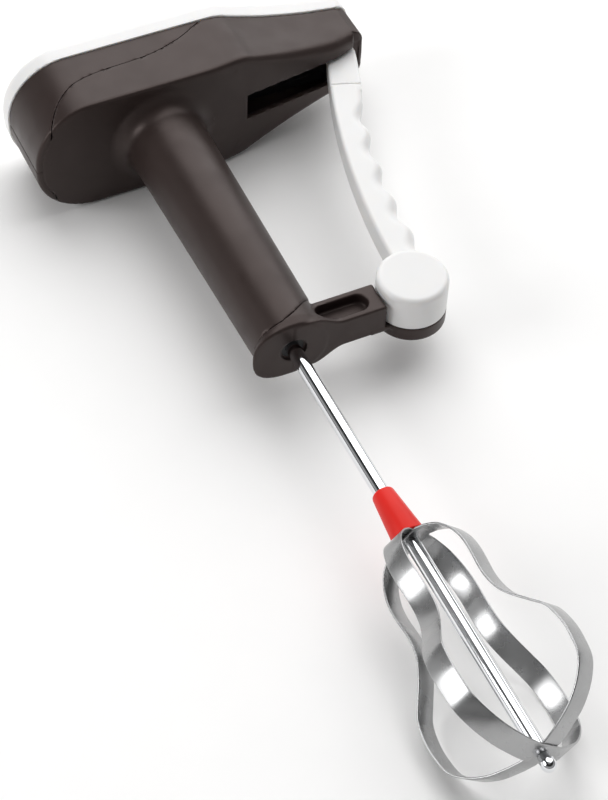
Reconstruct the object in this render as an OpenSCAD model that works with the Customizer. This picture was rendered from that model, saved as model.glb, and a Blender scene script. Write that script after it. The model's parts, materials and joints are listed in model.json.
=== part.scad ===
// Squeeze-lever egg beater: a hollow grip under a gear head, with a two-strip whisk on a long shaft.
// Squeezing the lever pulls a rack, which turns a compound gear, a pinion and the whisk.
// The mechanism is drawn upright: shaft axis on Z, head up, lever towards +X.
// lay_down() then puts every part on its side, the way the beater rests on a table:
// drawing X stays X, drawing Z becomes Y, and drawing -Y becomes Z.

/* [Head] */
// Height of the head's underside above the bottom of the foot
head_z = 128; // [120:1:136]
// Height of the brown side wall
wall_h = 31.8; // [30:0.1:34]
// Depth of the white cover
cover_h = 10.2; // [8:0.1:12]
// Half of the head's width
head_half = 27; // [26:0.5:29]
// How far the head reaches behind the shaft
head_rear = 55.3; // [54:0.1:58]
// How far the nose reaches in front of the shaft
nose_x = 98.9; // [98.4:0.1:99.4]
// Half of the nose's width
nose_half = 12.8; // [12.5:0.1:14]
// How far the cover stands proud of the wall
cover_lip = 0.6; // [0.2:0.1:0.8]
// Thickness of the moulded walls
wall = 2.5; // [2:0.1:2.8]

/* [Grip] */
// Diameter of the grip under the head
grip_top_d = 33.4; // [31:0.1:35]
// Diameter of the grip at the foot
grip_low_d = 29.1; // [28:0.1:30]

/* [Foot and lever] */
// Distance from the shaft to the lever's pivot
pivot_x = 54; // [53:0.5:55]
// Height of the pivot above the bottom of the foot
pivot_z = 8; // [7:0.5:9]
// Radius of the lever's drum
drum_r = 14.3; // [14:0.1:15]
// Squeeze travel of the lever, in degrees
squeeze = 17; // [10:1:17]
// Width of the lever across its finger side
lever_depth = 10.9; // [10:0.1:11]

/* [Shaft and whisk] */
// Diameter of the drive shaft
shaft_d = 6; // [5.6:0.1:6]
// Height of the whisk's top below the foot
whisk_top = 97.4; // [92:0.1:102]
// Height of the whisk's bottom seat below the foot
whisk_low = 193.4; // [193:0.1:198]
// Width of the whisk's steel strip
strip_w = 9; // [8:0.1:9]
// Thickness of the whisk's steel strip
strip_t = 0.8; // [0.6:0.1:0.8]

/* [Gears] */
// Module of the rack and of the small gear that it drives
rack_m = 1; // [1]
// Teeth of the small gear on the rack
rack_teeth = 10; // [10]
// Module of the second stage
gear_m = 0.8; // [0.8]
// Teeth of the large gear
wheel_teeth = 36; // [36]
// Teeth of the pinion on the shaft
pinion_teeth = 12; // [12]

/* [Hidden] */

$fn = 72;
fit = 0.02;
run = 0.05;
eps = 0.01;

// Colours
brown = [0.23, 0.19, 0.18];
white = [0.93, 0.93, 0.94];
red = [0.85, 0.12, 0.12];
steel = [0.75, 0.76, 0.78];
acetal = [0.1, 0.1, 0.11];

// Head
cover_line = head_z + wall_h;
head_top = cover_line + cover_h;
floor_z = head_z + wall;
corner_r = 25.4;
// The neck as [x, share of the width lost between the head and the nose]
neck = [
    [30, 0], [35, 0.01], [39.5, 0.06], [44, 0.18], [49.4, 0.31], [54.9, 0.435], [60.5, 0.55],
    [66.1, 0.65], [71.8, 0.745], [77.4, 0.83], [83.1, 0.9], [89.5, 0.97]
];
nose_corner = 6;
nose_corner_y = 6.8;
nose_front = 1.9;
ramp_start = 24.5;
ramp_slope = 0.14;
// The ramp is steeper under the nose, by this much from this x on
nose_rise_x = 85;
nose_rise = 0.28;
cover_round = 5;
cover_steps = 5;
seam_gap = 0.25;
seam = [
    [38, 163], [31, 160], [19, 153.4], [8, 149.6], [-2, 147.9], [-19, 147],
    [-30, 144.8], [-38, 140.5], [-44, 134.5], [-49, 126], [-52, 118]
];
slot_rear = 39.3;
slot_half = 6.5;

// Grip and foot
grip_top_r = grip_top_d / 2;
grip_low_r = grip_low_d / 2;
grip_bore = 12;
// Seam between foot and grip: level at the rear, rising to the arm
foot_seam = [
    [-30, 4.4], [-18, 4.3], [-10, 4], [-5.7, 3.9], [-1.7, 4.6], [3.3, 7.1], [8.3, 11.2], [14, 17], [20, 24]
];
heel_x = 17.5;
heel_half = 13.6;
heel_h = 4.4;
arm_top = 13.6;
arm_half = 6.85;
arm_end = 39.3;
flare = 5.6;
flare_start = 8;
flare_end = 22;
recess_x0 = 12;
recess_x1 = 34;
recess_z = 6.8;
recess_r = 4.3;
recess_depth = 4.6;

// Lever: its drum spans drum_near to drum_far across, and the foot's cheek goes on to cheek_far
drum_near = -10.8;
drum_far = 4.6;
cheek_far = 11.6;
lever_far = drum_far + 0.9;
lever_near = lever_far - lever_depth;
lever_w = 12.1;
// How fast it widens below this height
lever_widen = 0.022;
lever_widen_z = 92;
lever_bend = 658;
lever_foot_x = 52.8;
lever_foot_z = 4.5;
finger_pitch = 18.8;
finger_z = 36;
finger_wave = 1.3;
// The shoulder under the tongue, square to the lever: its inner end's height and its slope
step_z = 124.1;
step_slope = -0.36;
step_out = step_z + 13.2 * step_slope;
groove_w = 1.3;
groove_depth = 0.5;
last_ridge = 111.2;
tongue_near = -4.8;
tongue_far = 3.4;
tongue_out = 94.2;
tongue_top = 152;
// The lever's outer edge above its last ridge, as [height, x]
tongue_edge = [[last_ridge, 83.5], [119.4, 87.2], [128.4, 90.3], [136, 92.9], [140.5, tongue_out], [160, tongue_out]];
pin_x = 86;
pin_z = 146;
pin_r = 2;
sleeve_r = 3.5;
sleeve_bore = 1.6;
sleeve_near = -5;
recess_near = 8.6;
cap_hole_r = 5.5;
screw_r = 1.45;
spring_in = 6.2;
spring_out = 9.4;
spring_near = -4.2;
spring_turns = 4.25;
wire_r = 0.6;

// Gear train, all in the head
compound_x = gear_m * (wheel_teeth + pinion_teeth) / 2;
rack_r = rack_m * rack_teeth / 2;
arm_len = norm([pin_x - pivot_x, pin_z - pivot_z]);
pin_angle = atan2(pin_x - pivot_x, pin_z - pivot_z);
rack_travel = arm_len * (sin(pin_angle) - sin(pin_angle - squeeze));
wheel_z0 = 134;
wheel_z1 = 139;
pinion_z0 = 133.6;
pinion_z1 = 139.6;
rack_z0 = 144;
rack_z1 = 150;
rack_back = 10;
rack_rear = 14;
rack_tooth_count = 16;
hub_top = 152.6;
bridge_z0 = 153;
bridge_z1 = 155;
axle_r = 1.5;
post_r = 3.5;
journal_r = 2.5;
shoulder_z = 133.4;
boss_z0 = 124;
boss_z1 = 132.8;
bush_r = 5.5;
bridge_posts = [[-12, -18], [-12, 18], [32, -18.5], [32, 18.5]];
guide_posts = [[-24, 16], [2, 16]];
guide_z0 = 141;
guide_z1 = 151.6;
guide_x0 = -30;
guide_x1 = 38;

// Whisk: half of the strip's centreline from its top seat to its bottom seat, as [radius, height]
seat_r = 6;
belly_r = (head_half + cover_lip) * sqrt(2) - strip_w / 2 - strip_t / 2;
wing = [
    [9.5, -whisk_top - 1.4], [13.8, -whisk_top - 4.4], [16.6, -whisk_top - 8], [18.4, -whisk_top - 11.8],
    [19.5, -whisk_top - 16], [19.8, -whisk_top - 21], [19.5, -whisk_top - 26], [19.2, -whisk_top - 31],
    [19.6, -whisk_top - 36], [21, -whisk_top - 41], [23.8, -whisk_top - 46], [28.2, -whisk_top - 52],
    [32.2, -whisk_top - 58], [belly_r - 0.24, -whisk_top - 65.5], [belly_r - 0.26, -whisk_top - 72.5],
    [belly_r - 1.9, -whisk_low + 15.5], [belly_r - 7.3, -whisk_low + 9], [belly_r - 14.6, -whisk_low + 4.2],
    [11, -whisk_low + 1.2]
];
ferrule_top = -75.1;
ferrule_low = -96.9;
tip_end = 200.6;
tip_r = 2.7;
tip_neck_r = 2.2;

// Floor and centre of the laid-down beater
lay = [
    (head_rear + cover_lip - nose_x - cover_lip) / 2,
    (tip_end - head_top) / 2,
    head_half + cover_lip
];

module lay_down() {
    translate(lay) rotate([-90, 0, 0]) children();
}

// Turns a child drawn in the x-z plane and extruded along +z into one that spans y0 to y1
module side_slab(y0, y1) {
    translate([0, y1, 0]) rotate([90, 0, 0]) linear_extrude(y1 - y0) children();
}

// A cylinder along y
module y_rod(r, y0, y1, x = 0, z = 0) {
    translate([x, y1, z]) rotate([90, 0, 0]) cylinder(r = r, h = y1 - y0);
}

module z_rod(r, z0, z1, x = 0, y = 0) {
    translate([x, y, z0]) cylinder(r = r, h = z1 - z0);
}

// A smooth curve through a list of points, n steps to each stretch
function spline_point(a, b, c, d, t) =
    0.5 * (2 * b + (c - a) * t + (2 * a - 5 * b + 4 * c - d) * t * t + (3 * b - a - 3 * c + d) * t * t * t);
function spline(p, n) = [
    for (i = [0 : len(p) - 2], j = [0 : n - 1])
        let (a = p[max(i - 1, 0)], d = p[min(i + 2, len(p) - 1)])
        spline_point(a, p[i], p[i + 1], d, j / n),
    p[len(p) - 1]
];
function reversed(p) = [for (i = [len(p) - 1 : -1 : 0]) p[i]];
function mirrored(p) = [for (q = p) [q[0], -q[1]]];

// Gear tooth flanks: the involute's polar angle at radius r, in degrees
function involute(a) = tan(a) * 180 / PI - a;
function flank_angle(r, pitch_r, half, base_r) =
    half + involute(20) - involute(acos(min(1, base_r / max(r, base_r))));
function tooth(m, n, thin, add, ded) =
    let (pr = m * n / 2, base = pr * cos(20), half = 90 / n - thin * 90 / (PI * pr))
    let (radii = [pr - ded * m, max(base, pr - ded * m + eps), pr - 0.2 * m, pr + 0.2 * m, pr + add * m])
    concat(
        [for (r = radii) [r, -flank_angle(r, pr, half, base)]],
        [for (i = [4 : -1 : 0]) [radii[i], flank_angle(radii[i], pr, half, base)]]
    );
function gear_outline(m, n, thin = 0.16, add = 0.6, ded = 1.1) = [
    for (k = [0 : n - 1], p = tooth(m, n, thin, add, ded))
        p[0] * [cos(p[1] + k * 360 / n), sin(p[1] + k * 360 / n)]
];

// Outline of the head seen from above, grown by g: round rear corners, a waisted neck and a nose
function head_half_outline(g) = concat(
    [for (a = [180 : -6 : 90])
        [corner_r - head_rear, head_half - corner_r] + (corner_r + g) * [cos(a), sin(a)]],
    [for (p = spline(neck, 2)) [p[0], head_half - (head_half - nose_half) * p[1] + g]],
    [for (a = [80 : -10 : 0])
        [nose_x - nose_corner, nose_corner_y] + max(nose_corner + g, 0.4) * [cos(a), sin(a)]]
);
function head_outline(g) = concat(head_half_outline(g), reversed(mirrored(head_half_outline(g))));

module head_slab(g, z0, z1) {
    translate([0, 0, z0]) linear_extrude(z1 - z0) polygon(head_outline(g));
}

// Everything under the nose's rising underside, raised by up
module under_nose(up) {
    side_slab(-40, 40)
        polygon(concat([[ramp_start, head_z - 20]],
            [for (x = [ramp_start, nose_rise_x, nose_x + 6])
                [x, head_z + up + ramp_slope * (x - ramp_start) + nose_rise * max(0, x - nose_rise_x)]],
            [[nose_x + 6, head_z - 20]]));
}

// The wall zone behind and above the curved seam, which the rear shells fill
module rear_zone(shift) {
    side_slab(-40, 40) translate([-shift, shift])
        polygon(concat(spline(seam, 4), [[-80, 118], [-80, 163]]));
}

module head_wall() {
    difference() {
        head_slab(0, head_z, cover_line);
        head_slab(-wall, head_z - 1, cover_line + 1);
    }
}

module head_cover() color(white) {
    lip = 2;
    difference() {
        union() {
            head_slab(cover_lip, cover_line + seam_gap, head_top - cover_round);
            for (i = [0 : cover_steps - 1]) {
                z0 = head_top - cover_round + cover_round * i / cover_steps;
                rise = (i + 0.5) * cover_round / cover_steps;
                head_slab(cover_lip - cover_round + sqrt(cover_round * cover_round - rise * rise),
                    z0, z0 + cover_round / cover_steps);
            }
        }
        head_slab(cover_lip - wall, cover_line, head_top - wall);
    }
    // locating lip inside the wall
    difference() {
        head_slab(-wall - 0.1, cover_line - lip, cover_line + 2);
        head_slab(-wall - 1.6, cover_line - lip - 1, cover_line + 3);
    }
    // web that joins the lip to the cover
    difference() {
        head_slab(cover_lip - wall, cover_line + 1, cover_line + 2);
        head_slab(-wall - 1.6, cover_line, cover_line + 3);
    }
}

module head_housing() color(brown) difference() {
    union() {
        difference() {
            head_slab(0, head_z, cover_line);
            under_nose(0);
            difference() {
                head_slab(-wall, floor_z, cover_line + 1);
                under_nose(wall);
            }
            intersection() {
                rear_zone(0);
                head_wall();
            }
        }
        grip();
        z_rod(8, boss_z0, boss_z1);
        z_rod(4, head_z, wheel_z0 - 0.2, compound_x);
        for (p = bridge_posts) z_rod(post_r, floor_z - 0.5, bridge_z0, p[0], p[1]);
        for (p = guide_posts) z_rod(post_r, floor_z - 0.5, guide_z0, p[0], p[1]);
    }
    z_rod(bush_r + fit, boss_z0 - 1, boss_z1 + 1);
    z_rod(axle_r + fit, floor_z, wheel_z0, compound_x);
    for (p = bridge_posts) z_rod(1.2, bridge_z0 - 9, bridge_z0 + 1, p[0], p[1]);
    for (p = guide_posts) z_rod(1.2, guide_z0 - 7, guide_z0 + 1, p[0], p[1]);
    translate([slot_rear, -slot_half, head_z - 5])
        cube([nose_x - nose_front - slot_rear, 2 * slot_half, 20]);
}

// Tapered tube under the head, cut off by the curved foot seam
module grip() {
    difference() {
        rotate_extrude() polygon([
            [grip_bore, -8], [grip_low_r, -8], [grip_low_r, 0], [grip_top_r, head_z - 7],
            [grip_top_r + 2, head_z - 3], [grip_top_r + 6, head_z + eps],
            [grip_top_r - wall, head_z + eps]
        ]);
        side_slab(-40, 40) polygon(concat(spline(foot_seam, 4), [[20, -20], [-30, -20]]));
    }
}

module rear_shell(side) {
    intersection() {
        head_wall();
        rear_zone(seam_gap);
        translate([-100, side > 0 ? seam_gap / 2 : -60, head_z]) cube([200, 60 - seam_gap / 2, wall_h - 0.05]);
    }
}
module rear_shell_left() color(brown) rear_shell(-1);
module rear_shell_right() color(brown) rear_shell(1);

// Closed skin over a stack of rings, each counter-clockwise and of as many points
module skin(rings) {
    n = len(rings);
    sides = len(rings[0]);
    faces = concat(
        [[for (k = [0 : sides - 1]) k]],
        [for (i = [0 : n - 2], k = [0 : sides - 1])
            [i * sides + k, (i + 1) * sides + k, (i + 1) * sides + (k + 1) % sides, i * sides + (k + 1) % sides]],
        [[for (k = [sides - 1 : -1 : 0]) (n - 1) * sides + k]]
    );
    polyhedron([for (r = rings, p = r) p], faces, 6);
}

// The foot's outline at height z: a broad heel at the bottom that shrinks to the grip's circle
function foot_ring(z, inset) = [
    for (a = [0 : 7.5 : 352.5])
        let (rear = cos(a) < 0, p = rear ? 2.8 : 2, reach = rear ? heel_x : grip_low_r,
             low = 1 / pow(pow(abs(cos(a)) / reach, p) + pow(abs(sin(a)) / heel_half, p), 1 / p),
             r = grip_low_r + (low - grip_low_r) * max(0, 1 - z / heel_h) - inset)
        [r * cos(a), r * sin(a), z]
];
// The arm's outline at height z, with a flare at its root that fades towards the top
function arm_width(x, z) =
    let (t = min(1, max(0, (x - flare_start) / (flare_end - flare_start))))
    arm_half + flare * (1 + cos(180 * t)) / 2 * (1 - z / arm_top);
function arm_ring(z) = concat(
    [for (x = [0, 8, 10, 12, 14, 16, 18, 20, 22, arm_end]) [x, -arm_width(x, z), z]],
    [for (x = [arm_end, 22, 20, 18, 16, 14, 12, 10, 8, 0]) [x, arm_width(x, z), z]]
);

module foot_bracket() color(brown) difference() {
    union() {
        // foot and arm, up to the curved seam
        difference() {
            union() {
                skin([for (q = [[0, 1], [1, 0], [2.7, 0], [heel_h, 0], [20, 0]]) foot_ring(q[0], q[1])]);
                skin([for (i = [0 : 4]) arm_ring(arm_top * i / 4)]);
            }
            translate([0, 0, -seam_gap]) side_slab(-40, 40)
                polygon(concat(spline(foot_seam, 4), [[20, 60], [-30, 60]]));
        }
        // spigot inside the grip
        z_rod(grip_bore - fit, 1, 18);
        // cheek under the drum
        y_rod(drum_r, drum_far + 0.15, cheek_far, pivot_x, pivot_z);
        // root that carries the cheek
        translate([arm_end - 6, drum_far + 0.15, 0]) cube([18, arm_half - drum_far - 0.15, arm_top]);
    }
    // clearance round the drum
    y_rod(drum_r + 0.5, drum_near - 1, drum_far + 0.15, pivot_x, pivot_z);
    // long blind recess in the side of the arm
    for (x = [recess_x0 + recess_r, recess_x1 - recess_r])
        y_rod(recess_r, -arm_half - 8, recess_depth - arm_half, x, recess_z);
    translate([recess_x0 + recess_r, -arm_half - 8, recess_z - recess_r])
        cube([recess_x1 - recess_x0 - 2 * recess_r, recess_depth + 8, 2 * recess_r]);
    // shaft passage, bush seat and mouth
    z_rod(4.6 + fit, 1.5, 12);
    z_rod(shaft_d / 2 + 0.8, -1, 19);
    z_rod(5.4, -1, 1.5);
    // hollow spigot
    z_rod(9.5, 12, 19);
    // pivot sleeve hole and screw recess
    y_rod(sleeve_r + fit, drum_far - 1, cheek_far + 1, pivot_x, pivot_z);
    y_rod(cap_hole_r, recess_near, cheek_far + 1, pivot_x, pivot_z);
    // hole for the spring's fixed end
    y_rod(wire_r + 0.1, drum_far - 1, 7, pivot_x + (spring_in + spring_out) / 2, pivot_z);
}

module gear_bridge() color(steel) difference() {
    translate([-16, -22, bridge_z0]) cube([52, 44, bridge_z1 - bridge_z0]);
    z_rod(journal_r + run, bridge_z0 - 1, bridge_z1 + 1);
    z_rod(axle_r + fit, bridge_z0 - 1, bridge_z1 + 1, compound_x);
    for (p = bridge_posts) z_rod(1.4, bridge_z0 - 1, bridge_z1 + 1, p[0], p[1]);
}

// Self-tapping pan-head screw with a cross recess, head resting at z
module screw(z, head_r, head_h, r, length) {
    difference() {
        union() {
            z_rod(head_r, z, z + head_h);
            z_rod(r, z - length, z + eps);
        }
        for (a = [0, 90])
            rotate(a) translate([-head_r * 0.6, -0.3, z + head_h * 0.4]) cube([head_r * 1.2, 0.6, head_h]);
    }
}

module bridge_screws() color(steel)
    for (p = bridge_posts) translate([p[0], p[1], 0]) screw(bridge_z1, 2.5, 1.6, 1.18, 9);

module gear_axle() color(steel) z_rod(axle_r, floor_z, bridge_z1, compound_x);

// Channel that holds the rack against the small gear
module rack_guide() color(acetal) difference() {
    union() {
        translate([guide_x0, 6.4, guide_z0]) cube([guide_x1 - guide_x0, 6, guide_z1 - guide_z0]);
        for (p = guide_posts) {
            z_rod(post_r, guide_z0, guide_z0 + 2.5, p[0], p[1]);
            translate([p[0] - post_r, 11, guide_z0]) cube([2 * post_r, 5, 2.5]);
        }
    }
    translate([guide_x0 - 1, 0, rack_z0 - 0.15])
        cube([guide_x1 - guide_x0 + 2, rack_back + 0.15, rack_z1 - rack_z0 + 0.3]);
    for (p = guide_posts) z_rod(1.4, guide_z0 - 1, guide_z0 + 3, p[0], p[1]);
}

module guide_screws() color(steel)
    for (p = guide_posts) translate([p[0], p[1], 0]) screw(guide_z0 + 2.5, 2.5, 1.6, 1.18, 8);

module bush(r, z0, z1, flange_z, flange_r) color(acetal) difference() {
    union() {
        z_rod(r, z0, z1);
        z_rod(flange_r, flange_z, flange_z + 0.5);
    }
    z_rod(shaft_d / 2 + run, z0 - 1, z1 + 2);
}
module upper_bush() bush(bush_r, boss_z0 + 0.5, boss_z1 + 0.5, boss_z1, 7);
module lower_bush() color(acetal) difference() {
    z_rod(4.6, 1.5, 12);
    z_rod(shaft_d / 2 + run, 0, 13);
}

module pivot_sleeve() color(steel) difference() {
    y_rod(sleeve_r, sleeve_near, recess_near, pivot_x, pivot_z);
    y_rod(sleeve_bore, sleeve_near - 1, recess_near + 1, pivot_x, pivot_z);
}

// Solid round wire swept along a path of points
module wire(path, r, sides) {
    n = len(path);
    skin([for (i = [0 : n - 1])
        let (ahead = path[min(i + 1, n - 1)] - path[max(i - 1, 0)],
             w = ahead / norm(ahead),
             side = cross(w, abs(w[1]) > 0.9 ? [1, 0, 0] : [0, 1, 0]),
             u = side / norm(side),
             v = cross(w, u))
        [for (k = [0 : sides - 1]) path[i] + r * (u * cos(k * 360 / sides) + v * sin(k * 360 / sides))]]);
}

// Torsion spring round the pivot, its outer end in the foot's cheek
module return_spring() color(steel) {
    r = (spring_in + spring_out) / 2;
    coil_far = drum_far - 1.2;
    pitch = 2 * wire_r + 0.35;
    steps = 24;
    coil = [for (i = [0 : spring_turns * steps]) let (a = i * 360 / steps)
        [pivot_x + r * cos(a), coil_far - pitch * i / steps, pivot_z + r * sin(a)]];
    wire(concat([[pivot_x + r, 6.8, pivot_z], [pivot_x + r, coil_far + 0.6, pivot_z]], coil), wire_r, 8);
}

// The lever's inner edge, curving out towards the nose
function lever_in(z) = lever_foot_x + (z - lever_foot_z) * (z - lever_foot_z) / lever_bend;
// The finger side, with a ridge between each two fingers
function lever_out(z) = lever_in(z) + lever_w + lever_widen * max(0, lever_widen_z - z)
    + finger_wave * cos(360 * (z - finger_z) / finger_pitch);

module squeeze_lever() color(white) difference() {
    union() {
        side_slab(lever_near, drum_far) polygon(concat(
            [for (z = [pivot_z : 4 : step_z]) [lever_in(z), z]],
            [for (z = [step_out, 118, 114]) [lookup(z, tongue_edge), z]],
            [for (z = [last_ridge : -2 : 22]) [lever_out(z), z]],
            [[pivot_x + drum_r - 1, pivot_z]]
        ));
        // deeper above the cheek
        side_slab(drum_far - 1, lever_far) polygon(concat(
            [for (z = [26 : 4 : step_z]) [lever_in(z), z]],
            [for (z = [step_out, 118, 114]) [lookup(z, tongue_edge), z]],
            [for (z = [last_ridge : -2 : 26]) [lever_out(z), z]]
        ));
        side_slab(tongue_near, tongue_far) polygon(concat(
            [for (z = [step_z - 8 : 4 : 138]) [lever_in(z), z]],
            [[lever_in(138) + 0.5, tongue_top]],
            [for (z = [tongue_top, 140.5, 136, 128.4, 119.4, step_z - 8]) [lookup(z, tongue_edge), z]]
        ));
        rotate_drum();
    }
    // running bore on the sleeve, and the screw's hole above it
    y_rod(sleeve_r + run, sleeve_near - 0.2, drum_far + 1, pivot_x, pivot_z);
    y_rod(screw_r + fit, -9.4, sleeve_near, pivot_x, pivot_z);
    // pocket for the spring
    difference() {
        y_rod(spring_out, spring_near, drum_far + 1, pivot_x, pivot_z);
        y_rod(spring_in, spring_near - 1, drum_far + 2, pivot_x, pivot_z);
    }
    // groove along the shoulder
    side_slab(tongue_near - 1, tongue_near + groove_depth)
        translate([lever_in(step_z), step_z]) polygon([
            [-14, -14 * step_slope], [14, 14 * step_slope],
            [14, 14 * step_slope + groove_w], [-14, -14 * step_slope + groove_w]
        ]);
    // hole for the drive pin
    y_rod(pin_r + fit, tongue_near + 1.2, tongue_far + 1, pin_x, pin_z);
}

// Drum with a rounded near edge
module rotate_drum() {
    edge = 2;
    translate([pivot_x, drum_far, pivot_z]) rotate([90, 0, 0]) rotate_extrude() polygon(concat(
        [[0, 0], [drum_r, 0]],
        [for (a = [0 : 15 : 90])
            [drum_r - edge + edge * cos(a), drum_far - drum_near - edge + edge * sin(a)]],
        [[0, drum_far - drum_near]]
    ));
}

module drive_pin() color(steel) y_rod(pin_r, tongue_near + 1.2, rack_back + 0.3, pin_x, pin_z);

module pivot_washer() color(steel) difference() {
    y_rod(4.2, recess_near + 0.1, recess_near + 0.9, pivot_x, pivot_z);
    y_rod(sleeve_bore, recess_near, recess_near + 2, pivot_x, pivot_z);
}

module pivot_screw() color(steel)
    translate([pivot_x, 0, pivot_z]) rotate([-90, 0, 0]) screw(recess_near + 0.9, 3.2, 1.8, screw_r, 18.6);

// Toothed bar on the pin side of the small gear, with an upright slot for the drive pin
module rack() color(acetal) {
    pitch = PI * rack_m;
    tip = rack_r - 0.6 * rack_m;
    root = rack_r + 1.1 * rack_m;
    slant = tan(20);
    thick = pitch / 2 - 0.12;
    end = 5;
    slot_r = pin_r + 0.35;
    // highest and lowest places of the pin in its arc
    high = pivot_z + arm_len;
    difference() {
        union() {
            translate([rack_rear, root, rack_z0])
                cube([pin_x + end - rack_rear, rack_back - root, rack_z1 - rack_z0]);
            translate([pin_x - end, root, pin_z - slot_r - 1.8])
                cube([2 * end, rack_back - root, high - pin_z + 2 * slot_r + 3.6]);
            for (i = [-1 : rack_tooth_count - 2])
                translate([compound_x + (i + 0.5) * pitch, 0, rack_z0]) linear_extrude(rack_z1 - rack_z0)
                    polygon([
                        [-thick / 2 - (root - rack_r) * slant, root + eps],
                        [-thick / 2 + (rack_r - tip) * slant, tip],
                        [thick / 2 - (rack_r - tip) * slant, tip],
                        [thick / 2 + (root - rack_r) * slant, root + eps]
                    ]);
        }
        for (z = [pin_z, high]) y_rod(slot_r, 0, rack_back + 1, pin_x, z);
        translate([pin_x - slot_r, 0, pin_z]) cube([2 * slot_r, rack_back + 1, high - pin_z]);
    }
}

module compound_gear() color(acetal) translate([compound_x, 0, 0]) difference() {
    union() {
        translate([0, 0, wheel_z0]) linear_extrude(wheel_z1 - wheel_z0)
            polygon(gear_outline(gear_m, wheel_teeth));
        translate([0, 0, wheel_z1 - eps]) linear_extrude(hub_top - wheel_z1 + eps)
            rotate(90) polygon(gear_outline(rack_m, rack_teeth));
    }
    z_rod(axle_r + run, wheel_z0 - 1, hub_top + 1);
}

module shaft_pinion() color(steel) difference() {
    translate([0, 0, pinion_z0]) linear_extrude(pinion_z1 - pinion_z0)
        rotate(180 / pinion_teeth) polygon(gear_outline(gear_m, pinion_teeth, ded = 1));
    z_rod(journal_r + fit, pinion_z0 - 1, pinion_z1 + 1);
}

module drive_shaft() color(steel) difference() {
    union() {
        z_rod(shaft_d / 2, -whisk_low + 2.2, shoulder_z);
        z_rod(journal_r, shoulder_z - eps, bridge_z1 + 2.8);
        z_rod(1.5, -whisk_low - 2.6, -whisk_low + 2.3);
    }
    // groove for the clip
    difference() {
        z_rod(journal_r + 1, bridge_z1 + 0.5, bridge_z1 + 1.3);
        z_rod(journal_r - 0.5, bridge_z1, bridge_z1 + 2);
    }
}

// Snap ring open on one side
module shaft_clip() color(steel) difference() {
    z_rod(4.4, bridge_z1 + 0.55, bridge_z1 + 1.25);
    z_rod(journal_r - 0.5 + fit, bridge_z1, bridge_z1 + 2);
    translate([0, -1.6, bridge_z1]) cube([6, 3.2, 2]);
}

module ferrule() color(red) difference() {
    rotate_extrude() polygon(concat(
        [[0, ferrule_low], [6, ferrule_low], [6.4, ferrule_low + 0.4]],
        [for (a = [0 : 18 : 90]) [3.2 + 1.2 * cos(a), ferrule_top - 1.2 + 1.2 * sin(a)]],
        [[0, ferrule_top]]
    ));
    z_rod(shaft_d / 2 + fit, ferrule_low - 1, ferrule_top + 1);
}

// Half of the strip's centreline, both seats included, and its outline between two offsets
function wing_line() = concat(
    [[0, -whisk_top], [seat_r, -whisk_top]], spline(wing, 5), [[seat_r, -whisk_low], [0, -whisk_low]]
);
function strip_edge(off) =
    let (p = wing_line(), n = len(p))
    [for (i = [0 : n - 1])
        let (d = i == 0 || i == n - 1 ? [i == 0 ? 1 : -1, 0] : p[i + 1] - p[i - 1],
             u = d / norm(d))
        p[i] + off * [-u[1], u[0]]];
function to_left(p) = [for (q = p) [-q[0], q[1]]];

module whisk_strip(off, turn) {
    outer = strip_edge(off + strip_t / 2);
    inner = strip_edge(off - strip_t / 2);
    last = len(outer) - 1;
    loop_out = concat(outer, [for (i = [last - 1 : -1 : 1]) [-outer[i][0], outer[i][1]]]);
    loop_in = concat(inner, [for (i = [last - 1 : -1 : 1]) [-inner[i][0], inner[i][1]]]);
    difference() {
        rotate(turn) side_slab(-strip_w / 2, strip_w / 2) difference() {
            polygon(loop_out);
            polygon(loop_in);
        }
        z_rod(shaft_d / 2 + fit, -whisk_top - 4, -whisk_top + 4);
        z_rod(1.5 + fit, -whisk_low - 3, -whisk_low + 4);
    }
}
module whisk_strip_outer() color(steel) whisk_strip(0, 45);
module whisk_strip_inner() color(steel) whisk_strip(-strip_t - 0.05, -45);

module tip_cap() color(steel) difference() {
    rotate_extrude() polygon(concat(
        [[0, -tip_end]],
        [for (a = [75 : -15 : 0]) [tip_r * cos(a), -tip_end + tip_r - tip_r * sin(a)]],
        [[tip_r, -tip_end + 4], [tip_neck_r, -tip_end + 4.5], [tip_neck_r, -whisk_low - 0.45],
         [0, -whisk_low - 0.45]]
    ));
    z_rod(1.5 + fit, -whisk_low - 2.7, -whisk_low);
}

lay_down() head_cover();
lay_down() head_housing();
lay_down() rear_shell_left();
lay_down() rear_shell_right();
lay_down() foot_bracket();
lay_down() gear_bridge();
lay_down() bridge_screws();
lay_down() gear_axle();
lay_down() rack_guide();
lay_down() guide_screws();
lay_down() upper_bush();
lay_down() lower_bush();
lay_down() pivot_sleeve();
lay_down() return_spring();
lay_down() squeeze_lever();
lay_down() drive_pin();
lay_down() pivot_screw();
lay_down() pivot_washer();
lay_down() rack();
lay_down() compound_gear();
lay_down() drive_shaft();
lay_down() shaft_pinion();
lay_down() shaft_clip();
lay_down() ferrule();
lay_down() whisk_strip_outer();
lay_down() whisk_strip_inner();
lay_down() tip_cap();
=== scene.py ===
import json
import math

import bpy
import numpy as np
from mathutils import Matrix, Vector


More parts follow.
